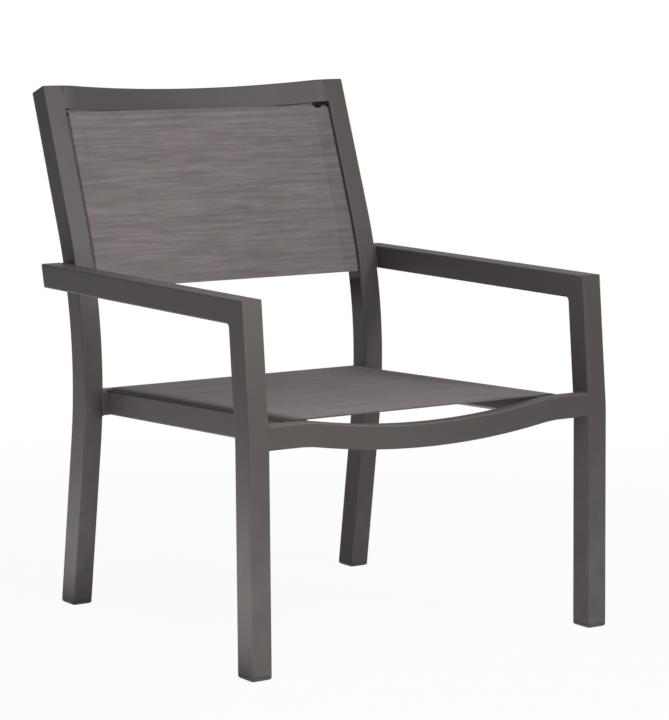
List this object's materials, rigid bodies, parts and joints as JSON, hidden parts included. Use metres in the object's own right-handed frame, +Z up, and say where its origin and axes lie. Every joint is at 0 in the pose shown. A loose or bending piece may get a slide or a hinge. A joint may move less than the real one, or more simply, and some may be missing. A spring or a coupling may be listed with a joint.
{
  "type": "sling patio chair",
  "caption": "Stationary outdoor dining armchair: welded rectangular-tube frame with fabric slings for seat and back, splayed rear legs, bowed top rail and a dipped front rail.",
  "frame": {"origin": "on the floor, midway between the front and the back of the chair and on its plane of symmetry", "axes": "+Z up, -Y towards the front, where the sitter faces, +X towards the sitter's left hand"},
  "size_m": [0.7112, 0.7896, 0.904],
  "materials": {
    "frame": "charcoal-bronze powder coat, satin",
    "sling": "taupe woven vinyl-coated polyester",
    "moulding": "moulded nylon, fine grain",
    "spline": "extruded black vinyl"
  },
  "bodies": {
    "root": {"arm_left": "frame", "arm_right": "frame", "front_leg_left": "frame", "front_leg_right": "frame", "back_post_left": "frame", "back_post_right": "frame", "seat_side_rail_left": "frame", "seat_side_rail_right": "frame", "front_seat_rail": "frame", "rear_seat_rail": "frame", "top_rail": "frame", "lower_back_rail": "frame", "seat_sling": "sling", "back_sling": "sling", "seat_spline_left": "spline", "seat_spline_right": "spline", "back_spline_left": "spline", "back_spline_right": "spline", "front_glide_left": "moulding", "front_glide_right": "moulding", "rear_glide_left": "moulding", "rear_glide_right": "moulding", "arm_cap_left": "moulding", "arm_cap_right": "moulding", "post_cap_left": "moulding", "post_cap_right": "moulding"}
  },
  "joints": []
}
